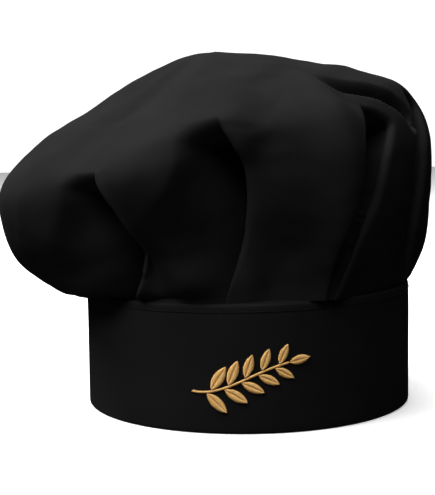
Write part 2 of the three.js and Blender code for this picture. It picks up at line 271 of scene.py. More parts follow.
def pleat_hollow(azimuth, share, radius):
    """How far the pleats push the cloth in, and how far they slide it round."""
    push = 0
    slide = 0
    for azimuths, reach, hollow, floor, width, side, roll in PLEATS:
        up = share / reach
        into = past_edge(azimuth, share, radius, azimuths, reach, side)
        bulge = np.maximum(radius - SEAM_RADIUS - climb(azimuth) * (1 - ease(share / 0.1)), 0) + 0.0015
        deep = bulge * hollow * (1 - ease((up - 0.82) / 0.18))
        deep = deep * (1 + APEX_DEPTH * ease((up - 0.45) / 0.35)) + 1e-5
        near = softer_of(roll * (1 - 0.5 * ease((up - 0.6) / 0.35)), 0.5 * deep)
        around = ROLL_TURN * near
        angle = np.clip(1 + into / around, 0, 1) * ROLL_TURN
        lap = (around - near) * ease((into + around + 0.022) / 0.022)
        curl = np.where(into > -around, near * np.sin(angle) - around - into, 0)
        bottom = floor[0] + (floor[1] - floor[0]) * ease(up / 0.55)
        bottom = bottom * ease(share / 0.04) * (1 - ease((up - 0.86) / 0.14))
        if width:
            open_up = (0.3 + 0.7 * ease(share / 0.14)) * (0.36 + 0.64 * (1 - ease((up - 0.35) / 0.6)))
            slope = np.clip(1 - (into - bottom) / (width * open_up), 0, 1)
            far_push = deep * slope ** (2 - 0.6 * ease((up - 0.4) / 0.4))
            far_slide = 0
        else:
            far = softer_of(FAR_ROLL, 0.5 * deep)
            far_around = ROLL_TURN * far
            left = bottom + far_around - into
            far_angle = np.clip(left / far_around, 0, 1) * ROLL_TURN
            under = far_around - far * math.sin(ROLL_TURN)
            sunk = far + (deep - far) * ease((bottom - into) / 0.002)
            wall = np.maximum(sunk, far * (1 - math.cos(ROLL_TURN)))
            far_push = np.where(into < bottom, wall, far * (1 - np.cos(far_angle)))
            floor_slide = under * np.clip(into / (bottom + 1e-6), 0, 1)
            far_slide = np.where(into < bottom, floor_slide, left - far * np.sin(far_angle)) * (left > 0)
        push = push + np.where(into >= 0, far_push, near * (1 - np.cos(angle)))
        slide = slide + side * np.where(into < 0, lap + curl, far_slide)
    return push, slide


def rubbed_and_highlit(azimuth, share, radius):
    """Wear and painted highlight of the crown, between 0 and 1: the pleats' rolled edges are drawn lighter."""
    wear_and_highlight = 0.12 * ease(1 - share / 0.03)
    for azimuths, reach, hollow, floor, width, side, roll in PLEATS:
        up = share / reach
        across = past_edge(azimuth, share, radius, azimuths, reach, side)
        fade = RIDGE_RUB_AND_HIGHLIGHT * ease(up / 0.15) * (1 - ease((up - 0.7) / 0.3))
        # Lighter along each rolled edge's crest: rubbed wear and painted highlight.
        wear_and_highlight = wear_and_highlight + fade * np.exp(-(((across + 1.4 * roll) / (0.8 * roll + 0.0008)) ** 2))
        # Where the far side is rolled too, its crest is lighter as well: rubbed wear and painted highlight.
        if not width:
            far_edge = floor[0] + (floor[1] - floor[0]) * ease(up / 0.55) + 0.6 * ROLL_TURN * FAR_ROLL
            wear_and_highlight = wear_and_highlight + fade * np.exp(-(((across - far_edge) / FAR_ROLL) ** 2))
    return np.clip(wear_and_highlight, 0, 1)


def dents(azimuth, share, radius, points):
    """How far the soft dents and the long crease push the cloth in."""
    push = 0
    for middle, up, wide, tall, depth in DENTS:
        across = np.radians(np.mod(azimuth - middle + 180, 360) - 180) * radius / wide
        push = push + depth * np.exp(-(across**2) - ((share - up) * CROWN_RISE / tall) ** 2)
    line = smooth_curve(CREASE, np.linspace(0, 1, 90))
    spine, _ = crown_surface(line[:, 0], line[:, 1])
    away = points[:, :, None] - spine
    distance = np.linalg.norm(away, axis=-1)
    nearest = distance.argmin(-1)
    along_line = np.gradient(spine, axis=0)
    along_line /= np.linalg.norm(along_line, axis=-1, keepdims=True)
    off_line = np.take_along_axis(away, nearest[..., None, None], 2)[..., 0, :]
    ahead = (off_line * along_line[nearest]).sum(-1)
    inside = (nearest > 0) & (nearest < len(line) - 1)
    gap = np.sqrt(np.maximum((off_line**2).sum(-1) - np.where(inside, ahead, 0) ** 2, 0))
    line_azimuth = line[nearest, 0]
    line_share = line[nearest, 1]
    above = (share - line_share) * CROWN_RISE + np.radians(azimuth - line_azimuth) * radius * 0.5 > 0
    along = nearest / (len(line) - 1)
    fade = ease((along - 0.28) / 0.4) * (1 - ease((along - 0.76) / 0.24))
    cut = ease(gap / CREASE_EDGE) * (1 - ease((gap - CREASE_FLOOR) / CREASE_EDGE))
    lip = 1 - ease(gap / 0.010)
    return push + fade * np.where(above, CREASE_DEPTH * cut, 0) - CREASE_LIP * fade * lip


def wrinkles(points):
    """Slow dents of soft cloth, and finer slack wrinkles that run with them."""
    chance = np.random.default_rng(21)
    total = 0
    for length, depth, count in ((0.075, 0.0011, 7), (0.032, 0.00045, 9), (0.013, 0.00012, 12)):
        for _ in range(count):
            heading = chance.normal(size=3) * (1, 1, 0.5)
            heading = heading / np.linalg.norm(heading) * 2 * math.pi / (length * chance.uniform(0.8, 1.3))
            bend = np.sin(points @ (heading[[1, 2, 0]] * 0.4) + chance.uniform(0, 6))
            wave = np.sin(points @ heading + 1.3 * bend + chance.uniform(0, 6))
            total = total + depth * wave / math.sqrt(count)
    return total


def crown_points():
    """Azimuths, shares of the way up and places of the crown's points above the seam."""
    azimuth, share, swell = crown_grid()
    points, radius = crown_surface(azimuth, share)
    push, slide = pleat_hollow(azimuth, share, radius)
    push = push - 0.0045 * swell * ease(share / 0.1) * (1 - ease((share - 0.2) / 0.3))
    push = push + dents(azimuth, share, radius, points) + wrinkles(points) * ease(share / 0.08)
    round_way = np.roll(points, -1, 0) - np.roll(points, 1, 0)
    normal = np.cross(round_way, np.gradient(points, axis=1))
    normal /= np.linalg.norm(normal, axis=-1, keepdims=True) + 1e-12
    flat_out = round_head(azimuth, 1, 0)
    low = ease(share / 0.12)[..., None]
    out = flat_out * (1 - low) + normal * low
    out /= np.linalg.norm(out, axis=-1, keepdims=True)
    points = points - out * push[..., None]
    points = points + round_head(azimuth + 90, 1, 0) * slide[..., None]
    return azimuth, share, points


def tucked_rows(azimuth):
    """Rows of the crown's cut edge, down between the two leaves of the band."""
    depths = np.linspace(1, 0.1, 5) * CROWN_TUCK
    height = top_edge(azimuth)[:, None] - depths
    return round_head(azimuth[:, None], SEAM_RADIUS + climb(azimuth)[:, None], height), depths


def new_piece(name, vertices, faces, cloth):
    """A smooth mesh object, with cloth coordinates in metres for its weave."""
    mesh = bpy.data.meshes.new(name)
    mesh.from_pydata(vertices.tolist(), [], faces)
    mesh.shade_smooth()
    corners = np.zeros(len(mesh.loops), int)
    mesh.loops.foreach_get("vertex_index", corners)
    mesh.uv_layers.new(name="cloth").uv.foreach_set("vector", cloth[corners].astype(np.float32).ravel())
    piece = bpy.data.objects.new(name, mesh)
    bpy.context.scene.collection.objects.link(piece)
    return piece


def grid_mesh(name, points, cloth, wrap=True, cap=None):
    """Four-sided faces over a grid of points. cap is the one point that ends every column."""
    columns, rows = points.shape[:2]
    vertices = points.reshape(-1, 3)
    cloth = cloth.reshape(-1, 2)
    i, j = np.meshgrid(np.arange(columns if wrap else columns - 1), np.arange(rows - 1), indexing="ij")
    after = (i + 1) % columns
    sides = [i * rows + j, after * rows + j, after * rows + j + 1, i * rows + j + 1]
    faces = np.stack(sides, -1).reshape(-1, 4).tolist()
    if cap is not None:
        vertices = np.vstack([vertices, cap])
        cloth = np.vstack([cloth, (0, 0)])
        tips = np.arange(columns) * rows + rows - 1
        faces += np.stack([tips, np.roll(tips, -1), np.full(columns, len(vertices) - 1)], -1).tolist()
    return new_piece(name, vertices, faces, cloth)


def set_wear_and_highlight(piece, amounts):
    """Sets how much lighter the cloth is drawn at each point, for wear and painted highlight."""
    wear_and_highlight = piece.data.attributes.new("wear_and_highlight", "FLOAT", "POINT").data
    wear_and_highlight.foreach_set("value", amounts.astype(np.float32).ravel())


def thicken(piece, thickness, offset=-1):
    """Gives a sheet its thickness, into the mesh."""
    solid = piece.modifiers.new("thickness", "SOLIDIFY")
    solid.thickness = thickness
    solid.offset = offset
    graph = bpy.context.evaluated_depsgraph_get()
    mesh = bpy.data.meshes.new_from_object(piece.evaluated_get(graph))
    piece.modifiers.clear()
    piece.data = mesh


def fill(tree, made, inputs):
    """Links the inputs of a node, or gives them values."""
    for name, value in inputs.items():
        if isinstance(value, bpy.types.NodeSocket):
            tree.links.new(value, made.inputs[name])
        else:
            made.inputs[name].default_value = value


def node(tree, kind, inputs=None, **settings):
    """A shader node with its settings made and its inputs filled."""
    made = tree.nodes.new(kind)
    for setting, value in settings.items():
        setattr(made, setting, value)
    fill(tree, made, inputs or {})
    return made


def noise(tree, place, scale, detail, distortion=0.0):
    inputs = {"Vector": place, "Scale": scale, "Detail": detail, "Distortion": distortion}
    return node(tree, "ShaderNodeTexNoise", inputs).outputs[0]


def between(tree, share, first, second):
    """A colour between two others."""
    return node(tree, "ShaderNodeMix", {0: share, 6: first, 7: second}, data_type="RGBA").outputs[2]


def raised(tree, height, strength, distance):
    """The slopes of a fine relief."""
    inputs = {"Strength": strength, "Distance": distance, "Height": height}
    return node(tree, "ShaderNodeBump", inputs).outputs[0]


def new_material(name):
    material = bpy.data.materials.new(name)
    material.use_nodes = True
    return material, material.node_tree


def finish(tree, inputs):
    fill(tree, tree.nodes["Principled BSDF"], inputs)


def cloth_place(tree):
    return node(tree, "ShaderNodeUVMap", uv_map="cloth").outputs[0]


def math_node(tree, operation, first, second=0.0, third=0.0):
    return node(tree, "ShaderNodeMath", {0: first, 1: second, 2: third}, operation=operation).outputs[0]


def twill_group():
    """Slanting ribs of twill over cloth coordinates in metres, with uneven yarns and soft patches."""
    tree = bpy.data.node_groups.new("twill_weave", "ShaderNodeTree")
    for name, kind, value in (
        ("Cloth", "Vector", (0, 0, 0)),
        ("Rib", "Float", 0.0006),
        ("Patchiness", "Float", 0.25),
        ("Color", "Color", (0.01, 0.01, 0.01, 1)),
        ("Worn and highlit color", "Color", (0.02, 0.02, 0.02, 1)),
        ("Wear and highlight", "Float", 0.0),
    ):
        tree.interface.new_socket(name, in_out="INPUT", socket_type=f"NodeSocket{kind}").default_value = value
    for name, kind in (("Color", "Color"), ("Roughness", "Float"), ("Height", "Float")):
        tree.interface.new_socket(name, in_out="OUTPUT", socket_type=f"NodeSocket{kind}")
    given = tree.nodes.new("NodeGroupInput").outputs
    across = node(tree, "ShaderNodeSeparateXYZ", {0: given["Cloth"]}).outputs
    yarn = noise(tree, given["Cloth"], 420.0, 2.0)
    patch = noise(tree, given["Cloth"], 26.0, 3.0)
    slant = math_node(tree, "MULTIPLY_ADD", across[1], 0.9, across[0])
    slant = math_node(tree, "DIVIDE", slant, given["Rib"])
    slant = math_node(tree, "MULTIPLY_ADD", yarn, 0.9, slant)
    rib = math_node(tree, "ABSOLUTE", math_node(tree, "SINE", math_node(tree, "MULTIPLY", slant, math.pi)))
    picks = math_node(tree, "MULTIPLY_ADD", across[0], -0.9, across[1])
    picks = math_node(tree, "DIVIDE", picks, given["Rib"])
    pick = math_node(tree, "SINE", math_node(tree, "MULTIPLY", picks, 4 * math.pi))
    height = math_node(tree, "MULTIPLY_ADD", pick, 0.18, rib)
    height = math_node(tree, "MULTIPLY_ADD", yarn, 0.5, height)
    # The ribs are lighter on their crests: painted shade in the grooves between them.
    tone = math_node(tree, "MULTIPLY_ADD", rib, 0.35, 0.72)
    uneven = math_node(tree, "MULTIPLY", math_node(tree, "SUBTRACT", patch, 0.5), given["Patchiness"])
    tone = math_node(tree, "ADD", tone, math_node(tree, "MULTIPLY", uneven, 2.0))
    # The second colour is lighter: it stands for rubbed wear and for painted highlight.
    dyed_worn_and_highlit = between(tree, given["Wear and highlight"], given["Color"], given["Worn and highlit color"])
    shaded = node(tree, "ShaderNodeVectorMath", {0: dyed_worn_and_highlit, "Scale": tone}, operation="SCALE").outputs[0]
    roughness = math_node(tree, "MULTIPLY_ADD", uneven, 0.3, 0.82)
    node(tree, "NodeGroupOutput", {"Color": shaded, "Roughness": roughness, "Height": height})
    return tree


TWILL = twill_group()


def black_twill(name):
    """Black cotton twill: nearly matt, with a little lift at grazing angles."""
    material, tree = new_material(name)
    weave = node(tree, "ShaderNodeGroup", {
        "Cloth": cloth_place(tree),
        # The wear attribute moves the colour towards the lighter one, for rubbed wear and painted highlight.
        "Wear and highlight": node(tree, "ShaderNodeAttribute", attribute_name="wear_and_highlight").outputs["Fac"],
        "Rib": 0.0006,
        "Color": (0.0132, 0.013, 0.0132, 1),
        "Worn and highlit color": (0.024, 0.0235, 0.0232, 1),
    }, node_tree=TWILL).outputs
    finish(tree, {
        "Base Color": weave["Color"],
        "Roughness": weave["Roughness"],
        "Normal": raised(tree, weave["Height"], 0.35, 0.00012),
        "Specular IOR Level": 0.0,
        "Sheen Weight": 0.003,
        "Sheen Roughness": 0.5,
    })
    return material


crown_azimuth, crown_share, crown_above = crown_points()
crown_below, crown_depths = tucked_rows(crown_azimuth[:, 0])
pattern_seam = CROWN_ROUND / 2 - CROWN_TUCK
pattern_radius = np.concatenate([pattern_seam + crown_depths, pattern_seam * (1 - crown_share[0])])
pattern_turn = np.concatenate([np.repeat(crown_azimuth[:, :1], len(crown_depths), 1), crown_azimuth], 1)
crown = grid_mesh(
    "crown_twill",
    np.concatenate([crown_below, crown_above], 1),
    round_head(pattern_turn, pattern_radius[None, :], 0)[..., :2],
    cap=(CROWN_LEAN, 0, CROWN_HEIGHT),
)
crown.data.materials.append(black_twill("crown_black_twill"))
# The crown's rolled pleat edges are drawn lighter: rubbed wear and painted highlight.
crown_rubbed_and_highlit = rubbed_and_highlit(crown_azimuth, crown_share, crown_surface(crown_azimuth, crown_share)[1])
crown_tuck_rubbed_and_highlit = np.zeros((len(crown_rubbed_and_highlit), len(crown_depths)))
set_wear_and_highlight(crown, np.append(np.concatenate([crown_tuck_rubbed_and_highlit, crown_rubbed_and_highlit], 1), 0))
thicken(crown, CROWN_THICKNESS)
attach(crown, "hat")
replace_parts(crown, "crown_cloth")


# Band. A long strip of the same twill, folded along its lower edge into an outer leaf and a lining leaf, with
# both upper edges turned in over the crown's. One end climbs over the other at the back, where the tab is sewn
# on.

CLOTH = 0.0005
LINING = OPENING_RADIUS + 0.0003
OUTER_LEAF = BAND_RADIUS - 0.0003
HEM = 0.008
LEAF_ROWS = 44
STITCH_ROW = 0.0042
GROOVE = 0.0004


def leaf_section(inner, outer, low, high, hem):
    """Radius and height along a folded strip, from the lining's hem to the outer hem, with the length of cloth
    up to each point. low and high are the middle of the cloth at the fold and at the upper edge."""
    turn_in = 0.0006
    bend = (outer - inner) / 2
    rise = np.linspace(0, 1, LEAF_ROWS)
    fold = np.linspace(math.pi, 2 * math.pi, 9)[1:-1]
    lining_hem = np.stack([np.full(5, inner + turn_in), np.linspace(high - hem, high - 0.0003, 5)], -1)
    lining_leaf = np.stack([np.full(LEAF_ROWS, inner), high - (high - low - bend) * rise], -1)
    lower_fold = np.stack([inner + bend + bend * np.cos(fold), low + bend + bend * np.sin(fold)], -1)
    outer_leaf = lining_leaf[::-1] + (outer - inner, 0)
    outer_hem = lining_hem[::-1] + (outer - inner - 2 * turn_in, 0)
    section = np.concatenate([lining_hem, lining_leaf, lower_fold, outer_leaf, outer_hem])
    steps = np.linalg.norm(np.diff(section, axis=0), axis=1)
    return section, np.concatenate([[0], np.cumsum(steps)])


def gentle_waves(azimuth, height, seed):
    """Uneven stiffness of the cloth as slow waves between -1 and 1."""
    chance = np.random.default_rng(seed)
    total = 0
    for _ in range(7):
        turns = chance.integers(3, 17)
        rise = chance.uniform(-60, 60)
        total = total + np.sin(np.radians(azimuth) * turns + height * rise + chance.uniform(0, 6)) / 3.5
    return total


def band_piece():
    """The band's cloth, drawn in along the stitched row and uneven in its stiffness."""
    azimuth = np.arange(LAP_START - 360 + 0.1, BAND_END - 0.1, 0.8)
    section, along = leaf_section(LINING, OUTER_LEAF, CLOTH / 2, BAND_HEIGHT - 0.0003, HEM)
    across = azimuth[:, None]
    outer = section[:, 0] > (LINING + OUTER_LEAF) / 2
    under_top = BAND_HEIGHT - section[:, 1]
    pull = np.exp(-(((under_top - STITCH_ROW) / 0.0011) ** 2))
    pull = pull * (0.8 + 0.2 * gentle_waves(across * 9, 0, 3))
    wave = gentle_waves(across, section[:, 1], 5) * 0.00018
    wave = wave * ease(under_top / 0.02) * ease(section[:, 1] / 0.01)
    roll = 0.0006 * ease(1 - under_top / 0.003)
    inward = np.where(outer, GROOVE * pull + 0.0001, -0.5 * GROOVE * pull)
    radius = section[:, 0] - inward + wave * outer - roll * outer + climb(across)
    height = section[:, 1] * top_edge(across) / BAND_HEIGHT
    points = round_head(across, radius, height)
    cloth = np.stack(np.broadcast_arrays(np.radians(across) * BAND_RADIUS, along), -1)
    piece = grid_mesh("band_twill", points, cloth, wrap=False)
    piece.data.materials.append(black_twill("band_black_twill"))
    # The folded lower edge and the upper edge are drawn lighter: rubbed wear, with painted highlight along the
    # upper edge.
    edges = 0.6 * np.exp(-((section[:, 1] / 0.0012) ** 2)) + 0.35 * ease(1 - under_top / 0.0018)
    set_wear_and_highlight(piece, edges * (0.75 + 0.25 * gentle_waves(across * 3, section[:, 1], 8)))
    thicken(piece, CLOTH, 0)
    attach(piece, "hat")
    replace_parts(piece, "band_cloth")


band_piece()


# Tongue. A narrow folded strip of the twill sewn between the leaves of both ends of the band, so that its
# stiff layers can meet without a gap under the overlap.

TONGUE_START = 152.2
TONGUE_END = 167.8
TONGUE_HEM = 0.004
TONGUE_LAP = 0.0014
TONGUE_CLOTH = 0.0004
TONGUE_INNER = LINING + 0.0008
TONGUE_OUTER = LINING + 0.0018


def tongue_piece():
    azimuth = np.linspace(TONGUE_START, TONGUE_END, 22)
    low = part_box("band_tongue")[0].z
    high = BAND_HEIGHT - CROWN_TUCK + TONGUE_LAP
    section, along = leaf_section(TONGUE_INNER, TONGUE_OUTER, low, high, TONGUE_HEM)
    points = round_head(azimuth[:, None], section[:, 0], section[:, 1])
    cloth = np.stack(np.broadcast_arrays(np.radians(azimuth[:, None]) * BAND_RADIUS, along), -1)
    piece = grid_mesh("band_tongue_twill", points, cloth, wrap=False)
    piece.data.materials.append(black_twill("tongue_black_twill"))
    thicken(piece, TONGUE_CLOTH, 0)
    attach(piece, "hat")
    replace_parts(piece, "band_tongue")


tongue_piece()


# Tab. A shorter strip, turned in on all sides, whose root is sewn in between the band's leaves where the band
# ends. Its free end has round corners, and it is pressed thinner at its root.

TAB_START = 160.7
TAB_END = 199
TAB_INNER = 0.0982
TAB_OUTER = 0.1002
ROOT_INNER = 0.0983
ROOT_OUTER = 0.0995
TAB_MARGIN = 0.002
TAB_CORNER = 0.012
TAB_TIP = 7
TAB_ROW = 0.0035


def tab_edges(azimuth):
    """Heights of the tab's lower and upper edge, with its round corners."""
    to_end = np.radians(TAB_END - azimuth) * TAB_OUTER
    into = np.clip(TAB_CORNER - to_end, 0, TAB_CORNER)
    cut = 0.85 * (TAB_CORNER - np.sqrt(TAB_CORNER**2 - into**2))
    return TAB_MARGIN + cut, BAND_HEIGHT - TAB_MARGIN - cut


def weld(piece, capped=False):
    """Joins the points of a mesh that lie together. A capped one has its open ends closed."""
    mesh = bmesh.new()
    mesh.from_mesh(piece.data)
    bmesh.ops.remove_doubles(mesh, verts=mesh.verts, dist=0.00002)
    if capped:
        bmesh.ops.holes_fill(mesh, edges=[edge for edge in mesh.edges if edge.is_boundary])
        bmesh.ops.recalc_face_normals(mesh, faces=mesh.faces)
    mesh.to_mesh(piece.data)
    mesh.free()


def tab_piece():
    azimuth = np.arange(TAB_START, TAB_END - TAB_TIP, 0.6)
    azimuth = np.concatenate([azimuth, TAB_END - TAB_TIP * np.linspace(1, 0, 26) ** 1.7])
    rise = np.linspace(0, 1, LEAF_ROWS)
    fold = np.linspace(0, math.pi, 8)[1:-1]
    across = azimuth[:, None]
    root = 1 - ease((across - 162) / 1.5)
    closing = np.sqrt(np.clip((TAB_END - across) / 0.9, 0.02, 1))
    inner = TAB_INNER + (ROOT_INNER - TAB_INNER) * root
    outer = TAB_OUTER + (ROOT_OUTER - TAB_OUTER) * root
    middle = (inner + outer) / 2
    half = (outer - inner) / 2 * closing
    low, high = tab_edges(across)
    low = low + half
    high = high - half
    pull = 0
    for from_edge in (rise, 1 - rise):
        pull = pull + np.exp(-(((from_edge * (high - low) - TAB_ROW) / 0.0012) ** 2))
    leaf = half - 0.0003 * pull * closing
    up = low + (high - low) * rise
    outer_leaf = (middle + leaf, up)
    top_fold = (middle + half * np.cos(fold), high + half * np.sin(fold))
    inner_leaf = (middle - half + 0 * rise, up[:, ::-1])
    lower_fold = (middle - half * np.cos(fold), low - half * np.sin(fold))
    parts = [outer_leaf, top_fold, inner_leaf, lower_fold]
    radius = np.concatenate([part[0] for part in parts], 1)
    height = np.concatenate([part[1] for part in parts], 1)
    points = round_head(across, radius, height)
    points = np.concatenate([points, points[:, :1]], 1)
    around = np.arange(points.shape[1]) * 0.0014
    cloth = np.stack(np.broadcast_arrays(np.radians(across) * TAB_OUTER, around), -1)
    piece = grid_mesh("tab_twill", points, cloth, wrap=False)
    weld(piece)
    piece.data.materials.append(black_twill("tab_black_twill"))
    thicken(piece, CLOTH, 0)
    bend_start = round_head(161.2, TAB_INNER, 0.035)
    bend_end = round_head(163.6, TAB_INNER, 0.035)
    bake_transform(piece)
    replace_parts(piece, "tab_cloth")


tab_piece()


# Stiffening. A felt strip inside the band, a smaller one inside the tab, and a thin felt behind the
# embroidery that keeps it from puckering.

def felt():
    """Off-white pressed felt: matted fibres."""
    material, tree = new_material("white_felt")
    place = node(tree, "ShaderNodeTexCoord").outputs["Object"]
    fibre = noise(tree, place, 1400.0, 4.0, 3.0)
    clump = noise(tree, place, 180.0, 2.0)
    matted = math_node(tree, "MULTIPLY_ADD", clump, 0.6, math_node(tree, "MULTIPLY", fibre, 0.4))
    finish(tree, {
        "Base Color": between(tree, matted, (0.6, 0.6, 0.56, 1), (0.78, 0.78, 0.74, 1)),
        "Normal": raised(tree, fibre, 0.5, 0.0002),
        "Roughness": 0.95,
        "Specular IOR Level": 0.2,
    })
    return material


white_felt = felt()
for name in ("band_stiffener", "tab_stiffener", "embroidery_backing"):
    inside = bpy.data.objects[name].data
    inside.materials.clear()
    inside.materials.append(white_felt)


# Hook and loop tapes. The loop tape is sewn to the band's outside under the tab, where the band's free end
# lies, and the shorter hook tape to the tab's inside, facing it.

TAPE_LOW = 0.023
TAPE_HIGH = 0.048
TAPE_BASE = 0.0004
TAPE_YARN = 0.00012
LOOP_TAPE = (166, 214, 0.0953)
LOOP_PITCH = 0.0011
HOOK_TAPE = (168, 195, 0.0972)
HOOK_PITCH = 0.0014
HOOK_BEND = 0.00022


def strands(name, paths, outward, radius, material, sides=6, flat=1.0):
    """One mesh of many thin strands. paths holds every strand's points and outward the way out of the cloth
    there; radius is one value, or one for each point along a strand. flat below 1 presses them on to the
    cloth."""
    paths = np.asarray(paths, float)
    count, steps = paths.shape[:2]
    outward = np.broadcast_to(outward, paths.shape)
    along = np.gradient(paths, axis=1)
    along /= np.linalg.norm(along, axis=-1, keepdims=True) + 1e-12
    aside = np.cross(along, outward)
    aside /= np.linalg.norm(aside, axis=-1, keepdims=True) + 1e-12
    lift = np.cross(aside, along)
    turn = np.arange(sides) / sides * 2 * math.pi
    thick = np.broadcast_to(radius, (steps,))[None, :, None, None]
    ring = aside[:, :, None] * np.cos(turn)[:, None] + lift[:, :, None] * np.sin(turn)[:, None] * flat
    vertices = (paths[:, :, None] + ring * thick).reshape(-1, 3)
    s, i, j = np.meshgrid(np.arange(count), np.arange(steps - 1), np.arange(sides), indexing="ij")
    first = (s * steps + i) * sides
    after = (j + 1) % sides
    walls = [first + j, first + after, first + sides + after, first + sides + j]
    walls = np.stack(walls, -1).reshape(-1, 4).tolist()
    root = np.arange(count)[:, None] * steps * sides
    starts = (root + np.arange(sides)[::-1]).tolist()
    ends = (root + (steps - 1) * sides + np.arange(sides)).tolist()
    length = np.cumsum(np.linalg.norm(np.diff(paths, axis=1), axis=-1), 1)
    length = np.concatenate([np.zeros((count, 1)), length], 1)
    cloth = np.stack(np.broadcast_arrays(length[:, :, None], turn * 0.0003), -1).reshape(-1, 2)
    piece = new_piece(name, vertices, walls + starts + ends, cloth)
    piece.data.materials.append(material)
    return piece


def join(first, second):
    """Puts the second piece's mesh into the first."""
    with bpy.context.temp_override(active_object=first, selected_editable_objects=[first, second]):
        bpy.ops.object.join()


def plies_group():
    """Slanting bands of a thread's plies, Twist metres apart along it."""
    tree = bpy.data.node_groups.new("thread_plies", "ShaderNodeTree")
    tree.interface.new_socket("Cloth", in_out="INPUT", socket_type="NodeSocketVector")
    tree.interface.new_socket("Twist", in_out="INPUT", socket_type="NodeSocketFloat").default_value = 0.001
    tree.interface.new_socket("Mask", in_out="OUTPUT", socket_type="NodeSocketFloat")
    given = tree.nodes.new("NodeGroupInput").outputs
    across = node(tree, "ShaderNodeSeparateXYZ", {0: given["Cloth"]}).outputs
    along_turns = math_node(tree, "DIVIDE", across[0], given["Twist"])
    turns = math_node(tree, "ADD", along_turns, math_node(tree, "DIVIDE", across[1], 0.0009))
    bands = math_node(tree, "SINE", math_node(tree, "MULTIPLY", turns, math.pi))
    node(tree, "NodeGroupOutput", {"Mask": math_node(tree, "ABSOLUTE", bands)})
    return tree


PLIES = plies_group()


def ply_bands(tree, twist):
    inputs = {"Cloth": cloth_place(tree), "Twist": twist}
    return node(tree, "ShaderNodeGroup", inputs, node_tree=PLIES).outputs["Mask"]


def black_thread(name, tone, twist, roughness=0.75):
    """Twisted black thread, with painted shade between its plies."""
    material, tree = new_material(name)
    plies = ply_bands(tree, twist)
    finish(tree, {
        # Painted shade: the colour is halved in the grooves between the plies.
        "Base Color": between(tree, plies, (tone * 0.5, tone * 0.5, tone * 0.5, 1), (tone, tone, tone, 1)),
        "Roughness": math_node(tree, "MULTIPLY_ADD", plies, 0.1, roughness - 0.05),
        "Normal": raised(tree, plies, 0.5, 0.00006),
        "Specular IOR Level": 0.08,
    })
    return material


def tape_base(name, start, end, radius, material):
    """The woven base of a tape."""
    azimuth = np.linspace(start, end, 40)
    section = np.array([(0, 0), (0, 0.5), (0, 1), (1, 1), (1, 0.5), (1, 0), (0, 0)])
    height = TAPE_LOW + section[:, 1] * (TAPE_HIGH - TAPE_LOW)
    points = round_head(azimuth[:, None], radius + section[:, 0] * TAPE_BASE, height)
    cloth = np.stack(np.broadcast_arrays(np.radians(azimuth[:, None]) * radius, height), -1)
    piece = grid_mesh(name, points, cloth, wrap=False)
    piece.data.shade_flat()
    weld(piece, capped=True)
    piece.data.materials.append(material)
    return piece


def tape_field(start, end, radius, pitch, seed):
    """Azimuths and heights of the tufts on a tape, slightly out of line."""
    chance = np.random.default_rng(seed)
    step = math.degrees(pitch / radius)
    columns = np.arange(start + 0.7, end - 0.7, step)
    rows = np.arange(TAPE_LOW + 0.0014, TAPE_HIGH - 0.0012, pitch)
    azimuth, height = np.meshgrid(columns, rows, indexing="ij")
    azimuth = azimuth + chance.normal(0, step * 0.12, azimuth.shape)
    height = height + chance.normal(0, pitch * 0.12, azimuth.shape)
    return azimuth.ravel(), height.ravel(), chance


def loop_piece():
    """The loop tape, with a pile of soft bows that lean every way."""
    radius = LOOP_TAPE[2]
    loops = tape_base("loop_tape_pile", *LOOP_TAPE, tape_black)
    azimuth, height, chance = tape_field(*LOOP_TAPE, LOOP_PITCH, 11)
    bow = np.linspace(0, math.pi, 7)
    lean = chance.uniform(-1, 1, azimuth.shape)[:, None]
    reach = 0.0004 * np.cos(bow) + 0.0002 * lean * np.sin(bow)
    paths = round_head(
        azimuth[:, None] + np.degrees(reach / radius) * np.cos(lean * 2),
        radius + 0.0003 + 0.0005 * np.sin(bow) * chance.uniform(0.7, 1, azimuth.shape)[:, None],
        height[:, None] + reach * np.sin(lean * 2),
    )
    join(loops, strands("pile", paths, round_head(azimuth[:, None], 1, 0), TAPE_YARN, tape_black, sides=4))
    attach(loops, "hat")
    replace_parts(loops, "loop_tape")


def hook_piece():
    """The hook tape, with rows of stiff hooks that turn to one side and the other."""
    radius = HOOK_TAPE[2]
    hooks = tape_base("hook_tape_hooks", *HOOK_TAPE, tape_black)
    azimuth, height, _ = tape_field(*HOOK_TAPE, HOOK_PITCH, 12)
    crook = np.linspace(0, 1.35 * math.pi, 8)
    side = np.where(np.arange(len(azimuth)) % 2 == 0, 1, -1)[:, None]
    paths = round_head(
        azimuth[:, None] + np.degrees(side * (HOOK_BEND - HOOK_BEND * np.cos(crook)) / radius),
        radius - 0.0003 * np.minimum(crook, 1) - HOOK_BEND * np.sin(np.clip(crook, 0, 4)),
        height[:, None],
    )
    join(hooks, strands("bent", paths, (0, 0, 1), TAPE_YARN, tape_black, sides=4))
    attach(hooks, "closure_tab")
    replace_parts(hooks, "hook_tape")


tape_black = black_thread("tape_black", 0.009, 0.0012, 0.8)
loop_piece()
hook_piece()


# Machine stitching. Black thread in a row under the band's upper edge that holds the crown, in a frame round
# each tape, along the tab's edge and down the band's free end.

STITCH_PITCH = 0.0032
STITCH_LENGTH = 0.0027
THREAD_RADIUS = 0.00022
FRAME_LOW = 0.025
FRAME_HIGH = 0.046
FRAME_CORNER = 0.001


